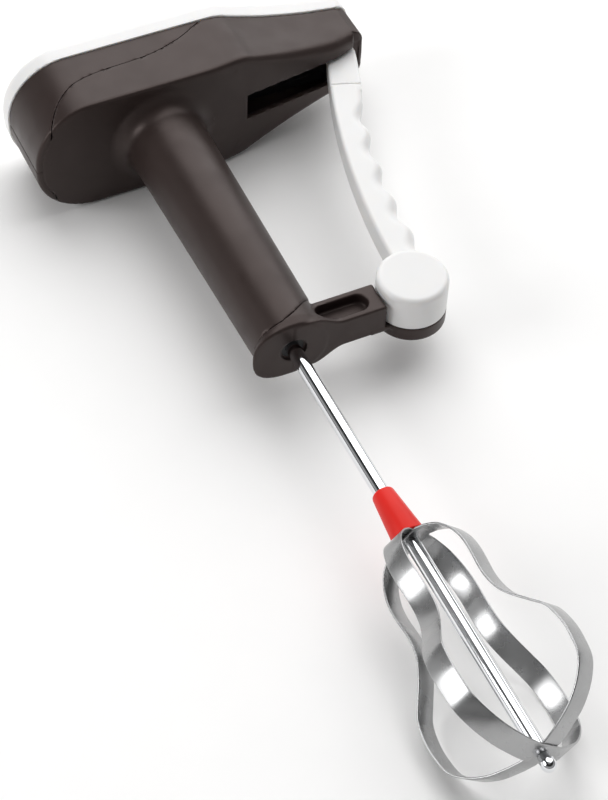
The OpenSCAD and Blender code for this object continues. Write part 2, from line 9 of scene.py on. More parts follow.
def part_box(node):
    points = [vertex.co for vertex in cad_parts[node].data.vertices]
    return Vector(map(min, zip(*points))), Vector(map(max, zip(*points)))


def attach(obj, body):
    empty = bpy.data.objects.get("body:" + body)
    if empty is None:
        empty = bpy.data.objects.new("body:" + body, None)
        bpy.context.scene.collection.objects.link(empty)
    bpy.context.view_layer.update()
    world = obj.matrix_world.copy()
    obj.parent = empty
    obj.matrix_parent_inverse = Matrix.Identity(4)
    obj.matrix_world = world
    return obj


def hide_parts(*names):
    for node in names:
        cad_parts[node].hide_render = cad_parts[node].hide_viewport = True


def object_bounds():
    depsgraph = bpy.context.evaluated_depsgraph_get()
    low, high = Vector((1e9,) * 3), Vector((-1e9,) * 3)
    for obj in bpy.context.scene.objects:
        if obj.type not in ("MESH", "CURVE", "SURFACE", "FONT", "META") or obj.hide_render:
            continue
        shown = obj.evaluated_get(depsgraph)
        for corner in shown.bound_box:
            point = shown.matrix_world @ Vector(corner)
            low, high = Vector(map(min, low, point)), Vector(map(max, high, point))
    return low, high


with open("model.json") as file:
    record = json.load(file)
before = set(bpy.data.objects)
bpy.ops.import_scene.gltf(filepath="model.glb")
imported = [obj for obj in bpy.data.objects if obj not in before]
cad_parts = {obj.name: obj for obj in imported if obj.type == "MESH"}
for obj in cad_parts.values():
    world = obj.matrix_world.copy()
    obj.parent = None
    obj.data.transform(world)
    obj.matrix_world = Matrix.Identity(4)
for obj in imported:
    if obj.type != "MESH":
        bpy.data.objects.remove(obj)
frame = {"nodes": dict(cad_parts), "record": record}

cad_low, cad_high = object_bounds()

# The beater is drawn upright in millimetres: shaft on Z, head up, lever towards +X. The shaft and the
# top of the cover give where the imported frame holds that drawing's origin. A named pair is a range
# from low to high, except PIVOT and PIN, which are points (x, z).
MM = 0.001
HEAD_TOP = 170.0
shaft_low, shaft_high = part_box("drive_shaft")
ORIGIN = Vector((
    (shaft_low.x + shaft_high.x) / 2,
    cad_high.y - HEAD_TOP * MM,
    (shaft_low.z + shaft_high.z) / 2,
))
LAY_DOWN = Matrix(((1, 0, 0), (0, 0, 1), (0, -1, 0)))

# Head
HEAD_Z = 128.0
COVER_LINE = 159.8
HEAD_HALF = 27.0
HEAD_REAR = 55.3
CORNER_R = 25.4
NECK = [
    (29, 0), (30, 0), (35, 0.01), (39.5, 0.06), (44, 0.18), (49.4, 0.31), (54.9, 0.435), (60.5, 0.55),
    (66.1, 0.65), (71.8, 0.745), (77.4, 0.83), (83.1, 0.9), (89.5, 0.97), (93.2, 1.006), (93.5, 1.006),
]
NOSE_X = 98.9
NOSE_HALF = 12.8
NOSE_CORNER = 6.0
NOSE_CORNER_Y = 6.8
NOSE_FRONT = 1.9
WALL = 2.5
COVER_LIP = 0.6
COVER_ROUND = 5.0
COVER_ROUND_INSIDE = 2.5
LIP_DEPTH = 2.0
LIP_WIDTH = 1.5
LIP_CLEARANCE = 0.1
WEB = (COVER_LINE + 1, COVER_LINE + 2)
WEB_OVERLAP = 0.3
CROWN = 1.2
BOTTOM_EDGE_REAR = 1.3
BOTTOM_EDGE_NOSE = 4.2
BOTTOM_EDGE_FRONT = 1.4
EDGE_GROWS = (5.0, 90.0)
EDGE_SHRINKS = (NOSE_X - 8, NOSE_X - 1)
RAMP_START = 24.5
RAMP_SLOPE = 0.14
RAMP_BEND = 4.0
NOSE_RISE_X = 85.0
NOSE_RISE = 0.28
NOSE_BEND = 3.0
SEAM_GAP = 0.2
SHELL_GAP = SEAM_GAP * 1.4
SLOT_REAR = 39.3
SLOT_HALF = 6.5
SLOT_TOP = HEAD_Z + 15
SEAM = [
    (38, 163), (31, 160), (19, 153.4), (8, 149.6), (-2, 147.9), (-19, 147),
    (-30, 144.8), (-38, 140.5), (-44, 134.5), (-49, 126), (-52, 118),
]
BRIDGE_POSTS = [(-12, -18), (-12, 18), (32, -18.5), (32, 18.5)]
GUIDE_POSTS = [(-24, 16), (2, 16)]
BRIDGE_Z = 153.0
GUIDE_Z = 141.0
POST_LOW = HEAD_Z + 2
POST_R = 3.5
POST_HOLE_R = 1.2
POST_HOLE_DEPTH = 9.0
AXLE_X = 19.2
AXLE_BOSS_R = 4.0
AXLE_BOSS_TOP = HEAD_Z + 5.8
UPPER_BOSS_R = 8.0
UPPER_BOSS = (HEAD_Z - 4, HEAD_Z + 4.8)
UPPER_BORE_R = 5.5
UPPER_BORE = (HEAD_Z - 5, HEAD_Z + 6)

# Grip and foot
GRIP_TOP_R = 16.7
GRIP_LOW_R = 14.55
GRIP_TOP_Z = 121.0
GRIP_FILLET = 7.0
GRIP_END = HEAD_Z + 1
BORE_LOW_R = 12.1
BORE_TOP_R = 14.2
FOOT_SEAM = [
    (-30, 4.4), (-18, 4.3), (-10, 4), (-5.7, 3.9), (-1.7, 4.6),
    (3.3, 7.1), (8.3, 11.2), (14, 17), (20, 24),
]
HEEL_X = 17.5
HEEL_HALF = 13.6
HEEL_H = 4.4
HEEL_POWER = 2.8
FOOT_SEAM_EDGE = 0.35
SPIGOT = (1.5, 18.0)
SPIGOT_CLEARANCE = 0.15
ARM_TOP = 13.6
ARM_HALF = 6.85
ARM_END = 39.3
FLARE_START = 8.0
FLARE_END = 22.0
FLARE = 5.6
RECESS_START = 12.0
RECESS_END = 34.0
RECESS_Z = 6.8
RECESS_R = 4.3
RECESS_DEPTH = 4.6
MOUTH_R = 5.4
MOUTH_TOP = 1.5
LOWER_BUSH_R = 4.62
LOWER_BUSH_TOP = 12.0
LOWER_BORE_R = 3.8
FOOT_HOLLOW_R = 9.5

# Lever
PIVOT_X = 54.0
PIVOT_Z = 8.0
PIVOT = (PIVOT_X, PIVOT_Z)
DRUM_R = 14.3
DRUM_NEAR = -10.8
DRUM_FAR = 4.6
DRUM_EDGE = 2.2
DRUM_GAP = 0.15
DRUM_ROOM = 0.5
CHEEK_FAR = 11.6
CHEEK_EDGE = 0.9
CHEEK_BLEND = 1.0
CHEEK_ROOT = (ARM_END - 6, ARM_END + 12)
SLEEVE_SEAT_R = 3.52
SLEEVE_SEAT_DEPTH = 1.0
HEAD_SINK_R = 5.5
HEAD_SINK_DEPTH = 3.0
LEVER_NEAR = -5.4
LEVER_FAR = 5.5
LEVER_W = 12.1
LEVER_WIDEN = 0.022
LEVER_WIDEN_Z = 92.0
LEVER_BEND = 658.0
LEVER_FOOT_X = 52.8
LEVER_FOOT_Z = 4.5
FINGER_PITCH = 18.8
FINGER_Z = 36.0
FINGER_WAVE = 1.3
FINGER_SLOPE = 0.43
FINGER_ROLL = 1.1
LAST_RIDGE = 111.2
THICKENS = (24.0, 28.0)
INNER_ROUND = 1.5
OUTER_ROUND_TOP = 3.2
OUTER_ROUND_LOW = 5.2
OUTER_ROUND_Z = (60.0, 105.0)
STEP_X = LEVER_FOOT_X + 21
STEP_Z = 124.1
STEP_SLOPE = -0.36
GROOVE_START = -1.0
GROOVE_W = 1.3
GROOVE_DEPTH = 0.5
TONGUE_NEAR = -4.8
TONGUE_FAR = 3.4
TONGUE_EDGE = [(111.2, 83.5), (119.4, 87.2), (128.4, 90.3), (136, 92.9), (140.5, 94.2), (160, 94.2)]
TONGUE_SLOPE = 0.35
TONGUE_END_EDGE = 0.9
TONGUE_BLEND = 0.1
TONGUE_LOW = STEP_Z - 8
TONGUE_TOP = 152.0
PIN_X = 86.0
PIN_Z = 146.0
PIN = (PIN_X, PIN_Z)
PIN_BORE_R = 2.02
PIN_BORE_WALL = 1.2
SPRING_POCKET_R = 9.4
SPRING_POCKET_Y = -4.2
SPRING_CORE_R = 6.2
SLEEVE_BORE_R = 3.55
SLEEVE_BORE_Y = -5.2
SCREW_BORE_R = 1.47
SCREW_BORE_Y = -9.4

# Whisk
WHISK_TOP = -97.4
WHISK_LOW = -193.4
SEAT_R = 6.0
STRIP_W = 9.0
STRIP_T = 0.8
STRIP_EDGE = 0.32
STRIP_GAP = 0.05
BELLY_R = (HEAD_HALF + COVER_LIP) * math.sqrt(2) - STRIP_W / 2 - STRIP_T / 2
WING = [
    (9.5, WHISK_TOP - 1.4), (13.8, WHISK_TOP - 4.4), (16.6, WHISK_TOP - 8), (18.4, WHISK_TOP - 11.8),
    (19.5, WHISK_TOP - 16), (19.8, WHISK_TOP - 21), (19.5, WHISK_TOP - 26), (19.2, WHISK_TOP - 31),
    (19.6, WHISK_TOP - 36), (21, WHISK_TOP - 41), (23.8, WHISK_TOP - 46), (28.2, WHISK_TOP - 52),
    (32.2, WHISK_TOP - 58), (BELLY_R - 0.24, WHISK_TOP - 65.5), (BELLY_R - 0.26, WHISK_TOP - 72.5),
    (BELLY_R - 1.9, WHISK_LOW + 15.5), (BELLY_R - 7.3, WHISK_LOW + 9), (BELLY_R - 14.6, WHISK_LOW + 4.2),
    (11, WHISK_LOW + 1.2),
]
FERRULE_LOW = -96.9
FERRULE_TOP = -75.1
FERRULE_R = 6.4
FERRULE_EDGE = 0.4
FERRULE_TOP_R = 4.4
FERRULE_ROUND = 1.2
FERRULE_TAPER_DEG = 8
FERRULE_BORE_R = 3.02
FERRULE_SIDES = 96
TIP_END = -200.6
TIP_R = 2.7
TIP_EDGE = 0.4
TIP_SHOULDER_Z = TIP_END + 4
TIP_NECK_R = 2.2
TIP_NECK_Z = TIP_END + 4.6
TIP_TOP_Z = WHISK_LOW - 0.45
TIP_CHAMFER = 0.15
TIP_BORE_R = 1.52
TIP_BORE_Z = WHISK_LOW - 2.7
TIP_POLE_R = 0.01
TIP_SIDES = 64

# Radii of moulded edges that several parts share
CRISP = 0.3
FINE = 0.4
EASED = 0.5
ROUNDED = 0.6
SOFT = 0.8
FULL = 1.2

# Contouring: where a grid starts, as a part of its pitch; half the step over which a normal is
# measured, in millimetres; and how strongly a vertex keeps to the middle of its cell's crossings
GRID_OFFSET = 0.377
NORMAL_STEP = 0.02
MIDDLE_PULL = 0.05

# Angles between faces, in degrees, over which an edge isn't smoothed
SHARP = 55
STRIP_SHARP = 60


# --- Solids as distance fields -------------------------------------------------------------------
# Each field is negative inside its solid. join, meet and cut take the radius of the edge they make.

def join(a, b, r=0.0):
    return np.maximum(r, np.minimum(a, b)) - np.hypot(np.maximum(r - a, 0), np.maximum(r - b, 0))


def meet(a, b, r=0.0):
    return -join(-a, -b, r)


def cut(a, b, r=0.0):
    return meet(a, -b, r)


def span(v, low, high):
    return np.maximum(low - v, v - high)


def ease(v, start, end):
    """A smooth rise from 0 at start to 1 at end."""
    t = np.clip((v - start) / (end - start), 0, 1)
    return t * t * (3 - 2 * t)


def rod(u, v, r, at=(0.0, 0.0)):
    return np.hypot(u - at[0], v - at[1]) - r


def stretch(u, v, start, end, at, r):
    """A round-ended bar from start to end along u."""
    return np.hypot(u - np.clip(u, start, end), v - at) - r


def catmull(points, steps):
    """Points on a smooth curve through the given points."""
    p = np.array(points, float)
    p = np.vstack([p[:1], p, p[-1:]])
    t = (np.arange(steps) / steps)[:, None]
    out = [
        0.5 * (2 * b + (c - a) * t + (2 * a - 5 * b + 4 * c - d) * t * t
               + (3 * b - a - 3 * c + d) * t ** 3)
        for a, b, c, d in zip(p, p[1:], p[2:], p[3:])
    ]
    return np.vstack(out + [p[-1:]])


NECK_LINE = catmull(NECK, 8)
NECK_LINE[:, 1] = HEAD_HALF - (HEAD_HALF - NOSE_HALF) * NECK_LINE[:, 1]


def along(line, x):
    """Height of a line at x, and the factor that turns an upright distance from it into a true one."""
    slope = np.interp(x, line[:, 0], np.gradient(line[:, 1], line[:, 0]))
    return np.interp(x, line[:, 0], line[:, 1]), 1 / np.hypot(1, slope)


def head_plan(x, y):
    """Distance to the head's outline seen from above: round rear, waisted neck, blunt nose."""
    side = np.abs(y)
    half, share = along(NECK_LINE, x)
    nose_x, nose_y = NOSE_X - NOSE_CORNER, NOSE_CORNER_Y
    round_nose = np.hypot(x - nose_x, side - nose_y) - NOSE_CORNER
    nose = np.where((x > nose_x) & (side > nose_y), round_nose, x - NOSE_X)
    front = np.maximum((side - half) * share, nose)
    centre_x = CORNER_R - HEAD_REAR
    rear = np.hypot(x - centre_x, np.maximum(side - (HEAD_HALF - CORNER_R), 0)) - CORNER_R
    return np.where(x < centre_x, rear, front)


def underside(x, y):
    """Height of the head's underside: a little crowned, and rising under the nose."""
    ahead = x - RAMP_START
    ramp = RAMP_SLOPE * (ahead + np.hypot(ahead, RAMP_BEND)) / 2
    nose = np.clip(x, None, NOSE_X) - NOSE_RISE_X
    rise = NOSE_RISE * (nose + np.hypot(nose, NOSE_BEND)) / 2
    return HEAD_Z + CROWN * (y / HEAD_HALF) ** 2 + ramp + rise


SEAM_LINE = catmull(SEAM, 12)[::-1]
FOOT_SEAM_LINE = catmull(FOOT_SEAM, 8)


def seam_side(x, z):
    """Distance from the curved seam, negative on the rear shells' side."""
    height, share = along(SEAM_LINE, x)
    return (height - z) * share


def bottom_edge(x):
    """Radius of the head's lower edge, which grows towards the nose and shrinks again at its front."""
    grown = BOTTOM_EDGE_REAR + (BOTTOM_EDGE_NOSE - BOTTOM_EDGE_REAR) * ease(x, *EDGE_GROWS)
    return grown + (BOTTOM_EDGE_FRONT - grown) * ease(x, *EDGE_SHRINKS)


def head_body(x, y, z):
    steep = np.where(x > NOSE_RISE_X, math.hypot(1, NOSE_RISE + RAMP_SLOPE), 1.0)
    sides = meet(head_plan(x, y), (underside(x, y) - z) / steep, bottom_edge(x))
    return meet(sides, z - COVER_LINE, CRISP)


def grip_cone(x, y, z):
    """Distance to the grip's tapered outside."""
    radius = GRIP_LOW_R + (GRIP_TOP_R - GRIP_LOW_R) * z / GRIP_TOP_Z
    return np.hypot(x, y) - radius


def foot_seam(x, z):
    """Distance from the curved seam between foot and grip, negative on the grip's side."""
    height, share = along(FOOT_SEAM_LINE, x)
    return (height - z) * share


def head_housing(x, y, z):
    body = head_body(x, y, z)
    body = join(body, meet(grip_cone(x, y, z), z - GRIP_END), GRIP_FILLET)
    hollow = meet(head_plan(x, y) + WALL, underside(x, y) + WALL - z)
    body = cut(body, hollow)
    bore = np.hypot(x, y) - BORE_LOW_R - (BORE_TOP_R - BORE_LOW_R) * z / HEAD_Z
    body = cut(body, meet(bore, z - HEAD_Z))
    body = join(body, meet(rod(x, y, UPPER_BOSS_R), span(z, *UPPER_BOSS)))
    body = join(body, meet(rod(x, y, AXLE_BOSS_R, (AXLE_X, 0)), span(z, HEAD_Z, AXLE_BOSS_TOP)))
    for posts, top in ((BRIDGE_POSTS, BRIDGE_Z), (GUIDE_POSTS, GUIDE_Z)):
        for post in posts:
            body = join(body, meet(rod(x, y, POST_R, post), span(z, POST_LOW, top)))
            body = cut(body, meet(rod(x, y, POST_HOLE_R, post), top - POST_HOLE_DEPTH - z))
    body = cut(body, meet(rod(x, y, UPPER_BORE_R), span(z, *UPPER_BORE)))
    slot = np.maximum(span(x, SLOT_REAR, NOSE_X - NOSE_FRONT), np.abs(y) - SLOT_HALF)
    body = cut(body, np.maximum(slot, z - SLOT_TOP), EASED)
    rear = meet(seam_side(x, z), -(head_plan(x, y) + WALL))
    body = cut(body, rear, CRISP)
    return meet(body, foot_seam(x, z), EASED)


def rear_shell(side):
    """The wall piece behind the curved seam, for side 1 or -1."""
    def field(x, y, z):
        shell = cut(head_body(x, y, z), head_plan(x, y) + WALL)
        shell = meet(shell, seam_side(x, z) + SHELL_GAP, CRISP)
        return meet(shell, SEAM_GAP / 2 - side * y, CRISP)
    return field


def head_cover(x, y, z):
    plan = head_plan(x, y)
    body = meet(plan - COVER_LIP, z - HEAD_TOP, COVER_ROUND)
    body = meet(body, COVER_LINE + SEAM_GAP - z, FINE)
    body = cut(body, meet(plan - COVER_LIP + WALL, z - HEAD_TOP + WALL, COVER_ROUND_INSIDE))
    outside = plan + WALL + LIP_CLEARANCE
    inside = -(outside + LIP_WIDTH)
    lip = np.maximum(meet(outside, inside), span(z, COVER_LINE - LIP_DEPTH, WEB[1]))
    web = meet(plan - COVER_LIP + WALL - WEB_OVERLAP, inside)
    return join(body, join(lip, np.maximum(web, span(z, *WEB))))


def round_foot(x, y, z):
    """The foot's dish: round at the grip, and widening to a blunter heel on the sole."""
    radius = np.maximum(np.hypot(x, y), 1e-6)
    power = np.where(x < 0, HEEL_POWER, 2.0)
    reach = np.where(x < 0, HEEL_X, GRIP_LOW_R)
    oval = (np.abs(x) / radius / reach) ** power + (np.abs(y) / radius / HEEL_HALF) ** power
    sole = oval ** (-1 / power)
    fade = np.clip(1 - z / HEEL_H, 0, 1)
    foot = radius - GRIP_LOW_R - (sole - GRIP_LOW_R) * fade
    return meet(foot / np.hypot(1, (sole - GRIP_LOW_R) / HEEL_H), -z, FULL)


def flared_arm(x, y, z):
    """The arm from the foot to the lever's pivot, flaring where it leaves the foot."""
    t = np.clip((x - FLARE_START) / (FLARE_END - FLARE_START), 0, 1)
    rise = np.clip(1 - z / ARM_TOP, 0, 1)
    half = ARM_HALF + FLARE * rise * (1 + np.cos(np.pi * t)) / 2
    slope = FLARE * rise / 2 * np.sin(np.pi * t) * np.pi / (FLARE_END - FLARE_START)
    arm = meet((np.abs(y) - half) / np.hypot(1, slope), span(z, 0, ARM_TOP), SOFT)
    return meet(arm, np.maximum(-x, x - ARM_END), SOFT)


def pivot_cheek(x, y, z):
    """The round cheek beside the lever's drum, and the root that joins it to the arm."""
    cheek = rod(x, z, DRUM_R, PIVOT)
    cheek = meet(cheek, span(y, DRUM_FAR + DRUM_GAP, CHEEK_FAR), CHEEK_EDGE)
    root = np.maximum(span(x, *CHEEK_ROOT), span(z, 0, ARM_TOP))
    root = meet(root, span(y, DRUM_FAR + DRUM_GAP, ARM_HALF), EASED)
    return join(cheek, root, CHEEK_BLEND)


def foot_bracket(x, y, z):
    body = join(round_foot(x, y, z), flared_arm(x, y, z), SOFT)
    body = meet(body, SEAM_GAP - foot_seam(x, z), FOOT_SEAM_EDGE)
    body = join(body, meet(rod(x, y, BORE_LOW_R - SPIGOT_CLEARANCE), span(z, *SPIGOT), FINE))
    body = join(body, pivot_cheek(x, y, z), ROUNDED)
    drum_room = meet(rod(x, z, DRUM_R + DRUM_ROOM, PIVOT), y - DRUM_FAR - DRUM_GAP)
    body = cut(body, drum_room, EASED)
    recess = stretch(x, z, RECESS_START + RECESS_R, RECESS_END - RECESS_R, RECESS_Z, RECESS_R)
    body = cut(body, meet(recess, y + ARM_HALF - RECESS_DEPTH, SOFT), ROUNDED)
    body = cut(body, meet(rod(x, y, MOUTH_R), z - MOUTH_TOP), FINE)
    body = cut(body, meet(rod(x, y, LOWER_BUSH_R), z - LOWER_BUSH_TOP))
    body = cut(body, meet(rod(x, y, FOOT_HOLLOW_R), LOWER_BUSH_TOP - z))
    body = cut(body, rod(x, y, LOWER_BORE_R))
    body = cut(body, meet(rod(x, z, SLEEVE_SEAT_R, PIVOT), DRUM_FAR - SLEEVE_SEAT_DEPTH - y))
    return cut(body, meet(rod(x, z, HEAD_SINK_R, PIVOT), CHEEK_FAR - HEAD_SINK_DEPTH - y), FINE)


def tongue_edge(z):
    """The lever's outer edge above its last ridge."""
    heights, edges = np.array(TONGUE_EDGE).T
    return np.interp(z, heights, edges)


def lever_handle(x, y, z, inner, bend):
    """The bowed part under the hand, with its finger grooves, between inner edge and outer edge."""
    phase = 2 * np.pi * (z - FINGER_Z) / FINGER_PITCH
    thicker = np.clip((z - THICKENS[0]) / (THICKENS[1] - THICKENS[0]), 0, 1)
    far = DRUM_FAR + (LEVER_FAR - DRUM_FAR) * thicker
    across = 2 * (y - (LEVER_NEAR + far) / 2) / (far - LEVER_NEAR)
    roll = FINGER_ROLL * (1 - np.cos(phase)) / 2 * across ** 2
    width = LEVER_W + LEVER_WIDEN * np.maximum(LEVER_WIDEN_Z - z, 0)
    edge = LEVER_FOOT_X + bend * (z - LEVER_FOOT_Z) + width + FINGER_WAVE * np.cos(phase) - roll
    steep = np.where(z < LAST_RIDGE, 2 * bend - FINGER_SLOPE * np.sin(phase), TONGUE_SLOPE)
    outer = (x - np.where(z < LAST_RIDGE, edge, tongue_edge(z))) / np.hypot(1, steep)
    lower = np.clip((OUTER_ROUND_Z[1] - z) / (OUTER_ROUND_Z[1] - OUTER_ROUND_Z[0]), 0, 1)
    outer_round = OUTER_ROUND_TOP + (OUTER_ROUND_LOW - OUTER_ROUND_TOP) * lower
    return meet(meet(outer, span(y, LEVER_NEAR, far), outer_round), inner, INNER_ROUND)


def lever_tongue(x, y, z, inner, above_step):
    """The thinner end that runs in the head's slot, with a groove along the step below it."""
    tongue = meet(inner, (x - tongue_edge(z)) / np.hypot(1, TONGUE_SLOPE))
    tongue = meet(tongue, span(y, TONGUE_NEAR, TONGUE_FAR), FULL)
    tongue = meet(tongue, span(z, TONGUE_LOW, TONGUE_TOP), TONGUE_END_EDGE)
    groove = np.maximum(span(above_step, GROOVE_START, GROOVE_W), y - TONGUE_NEAR - GROOVE_DEPTH)
    return cut(tongue, groove, CRISP)


def squeeze_lever(x, y, z):
    bend = (z - LEVER_FOOT_Z) / LEVER_BEND
    inner = (LEVER_FOOT_X + bend * (z - LEVER_FOOT_Z) - x) / np.hypot(1, 2 * bend)
    above_step = (z - STEP_Z - STEP_SLOPE * (x - STEP_X)) / math.hypot(1, STEP_SLOPE)
    body = lever_handle(x, y, z, inner, bend)
    body = meet(body, np.maximum(PIVOT_Z - z, above_step), CRISP)
    body = join(body, lever_tongue(x, y, z, inner, above_step), TONGUE_BLEND)
    drum = meet(rod(x, z, DRUM_R, PIVOT), span(y, DRUM_NEAR, DRUM_FAR))
    drum = meet(drum, meet(rod(x, z, DRUM_R, PIVOT), DRUM_NEAR - y, DRUM_EDGE))
    body = join(body, drum, FULL)
    pocket = meet(rod(x, z, SPRING_POCKET_R, PIVOT), -rod(x, z, SPRING_CORE_R, PIVOT))
    body = cut(body, meet(pocket, SPRING_POCKET_Y - y))
    body = cut(body, meet(rod(x, z, SLEEVE_BORE_R, PIVOT), SLEEVE_BORE_Y - y))
    body = cut(body, meet(rod(x, z, SCREW_BORE_R, PIVOT), SCREW_BORE_Y - y))
    return cut(body, meet(rod(x, z, PIN_BORE_R, PIN), TONGUE_NEAR + PIN_BORE_WALL - y))


def crossings(field, grid, value, pitch):
    """Points where the grid's edges cross the surface, and the four cells around each such edge."""
    solid = value < 0
    points, cells = [], []
    for axis in range(3):
        first = [slice(None)] * 3
        second = [slice(None)] * 3
        first[axis] = slice(0, -1)
        second[axis] = slice(1, None)
        step, u, v = np.roll(np.eye(3, dtype=int), -axis, 0)
        index = np.stack(np.nonzero(solid[tuple(first)] != solid[tuple(second)]), 1)
        a = value[tuple(index.T)]
        b = value[tuple((index + step).T)]
        at = np.stack([grid[k][index[:, k]] for k in range(3)], 1)
        share = a / (a - b)
        for _ in range(2):
            p = at + share[:, None] * step * pitch
            share = np.clip(share + field(*p.T) / (a - b), 0, 1)
        points.append(at + share[:, None] * step * pitch)
        corners = np.stack([index - u - v, index - v, index, index - u], 1)
        flip = ~solid[tuple(index.T)]
        corners[flip] = corners[flip][:, ::-1]
        cells.append(corners)
    return np.vstack(points), np.vstack(cells)


def normals_at(field, points):
    normal = np.stack([
        field(*(points + NORMAL_STEP * e).T) - field(*(points - NORMAL_STEP * e).T) for e in np.eye(3)
    ], 1)
    return normal / np.maximum(np.linalg.norm(normal, axis=1), 1e-9)[:, None]


def meeting_points(points, normals, groups, count):
    """For each group of surface points, the place where their tangent planes meet. Where the planes
    leave it open, it keeps to the middle of the points."""
    def total(weight):
        return np.bincount(groups, weight, count)

    many = total(np.ones(len(groups)))
    middle = np.stack([total(points[:, k]) for k in range(3)], 1) / many[:, None]
    away = ((points - middle[groups]) * normals).sum(1)
    matrix = np.stack([
        np.stack([total(normals[:, i] * normals[:, j]) for j in range(3)], 1) for i in range(3)
    ], 1)
    matrix += MIDDLE_PULL * np.eye(3)
    right = np.stack([total(normals[:, k] * away) for k in range(3)], 1)
    return middle + np.linalg.solve(matrix, right[:, :, None])[:, :, 0]


def contour(field, low, high, pitch):
    """Vertices and four-sided faces of a field's surface. Each cell that the surface crosses gets
    one vertex, put where the surface's tangent planes meet, so that edges stay sharp."""
    offset = GRID_OFFSET * pitch
    grid = [np.arange(a - offset, b + pitch, pitch) for a, b in zip(low, high)]
    value = field(*np.meshgrid(*grid, indexing="ij", sparse=True))
    value = np.broadcast_to(value, [len(g) for g in grid])
    points, cells = crossings(field, grid, value, pitch)
    normals = normals_at(field, points)
    key = np.ravel_multi_index(cells.reshape(-1, 3).T, value.shape)
    used, where = np.unique(key, return_inverse=True)
    where = where.reshape(-1)
    vertex = meeting_points(np.repeat(points, 4, 0), np.repeat(normals, 4, 0), where, len(used))
    corner = np.stack(np.unravel_index(used, value.shape), 1) * pitch + np.array([g[0] for g in grid])
    vertex = np.clip(vertex, corner, corner + pitch)
    return vertex, where.reshape(-1, 4)


# --- Mesh objects --------------------------------------------------------------------------------

def to_frame(points):
    """Points of the upright drawing in millimetres, as points of the frame in metres."""
    return np.array(points) * MM @ np.array(LAY_DOWN).T + np.array(ORIGIN)


def piece(name, points, faces, body, slot, stands_for, sharp=SHARP):
    """An object that stands for a node of the frame."""
    mesh = bpy.data.meshes.new(name)
    mesh.from_pydata(to_frame(points).tolist(), [], np.asarray(faces).tolist())
    mesh.validate()
    mesh.update()
    mesh.shade_smooth()
    mesh.set_sharp_from_angle(angle=math.radians(sharp))
    mesh.materials.append(MATERIALS[slot])
    obj = bpy.data.objects.new(name, mesh)
    bpy.context.scene.collection.objects.link(obj)
    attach(obj, body)
    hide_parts(stands_for)


def moulded(node, field, low, high, pitch, body, slot):
    """A field's surface inside the box from low to high, as the piece for a node."""
    points, faces = contour(field, low, high, pitch)
    piece(node + "_shell", points, faces, body, slot, node)


def lathe(profile, sides):
    """A closed ring of quads: the profile's points, as (radius, z), turned about the shaft."""
    profile = np.array(profile, float)
    count = len(profile)
    angle = 2 * np.pi * np.arange(sides) / sides
    ring = np.stack([np.cos(angle), np.sin(angle)], 1)
    points = np.concatenate([
        np.column_stack([ring * r, np.full(sides, z)]) for r, z in profile
    ])
    faces = []
    for i in range(count):
        j = (i + 1) % count
        for k in range(sides):
            m = (k + 1) % sides
            faces.append([i * sides + k, i * sides + m, j * sides + m, j * sides + k])
    return points, faces


def arc(centre, radius, start, end, steps):
    """Points along an arc from start to end degrees."""
    angles = np.radians(np.linspace(start, end, steps + 1))
    return [(centre[0] + radius * math.cos(a), centre[1] + radius * math.sin(a)) for a in angles]


# --- Materials -----------------------------------------------------------------------------------

# Scale and detail of the noise in colour and in roughness, and the range that it mostly fills
BLOTCHES = (45.0, 4.0)
SMUDGES = (110.0, 5.0)
NOISE_RANGE = (0.3, 0.7)
GRAIN_DETAIL = 2.0
GRAIN_DEPTH = 0.05 * MM
GLOW_DEPTH = 2 * MM
GLOW_TINT = (1.0, 0.9, 0.8)
LEAST_ROUGHNESS = 0.02


def noise(tree, coords, scale, detail):
    """Noise in the object's own metres, so that its scale is the real one."""
    node = tree.nodes.new("ShaderNodeTexNoise")
    node.inputs["Scale"].default_value = scale
    node.inputs["Detail"].default_value = detail
    tree.links.new(coords.outputs["Object"], node.inputs["Vector"])
    return node.outputs["Fac"]


def remap(tree, value, low, high):
    """Noise brought to the range from low to high."""
    node = tree.nodes.new("ShaderNodeMapRange")
    node.inputs["From Min"].default_value = NOISE_RANGE[0]
    node.inputs["From Max"].default_value = NOISE_RANGE[1]
    node.inputs["To Min"].default_value = low
    node.inputs["To Max"].default_value = high
    tree.links.new(value, node.inputs["Value"])
    return node.outputs["Result"]


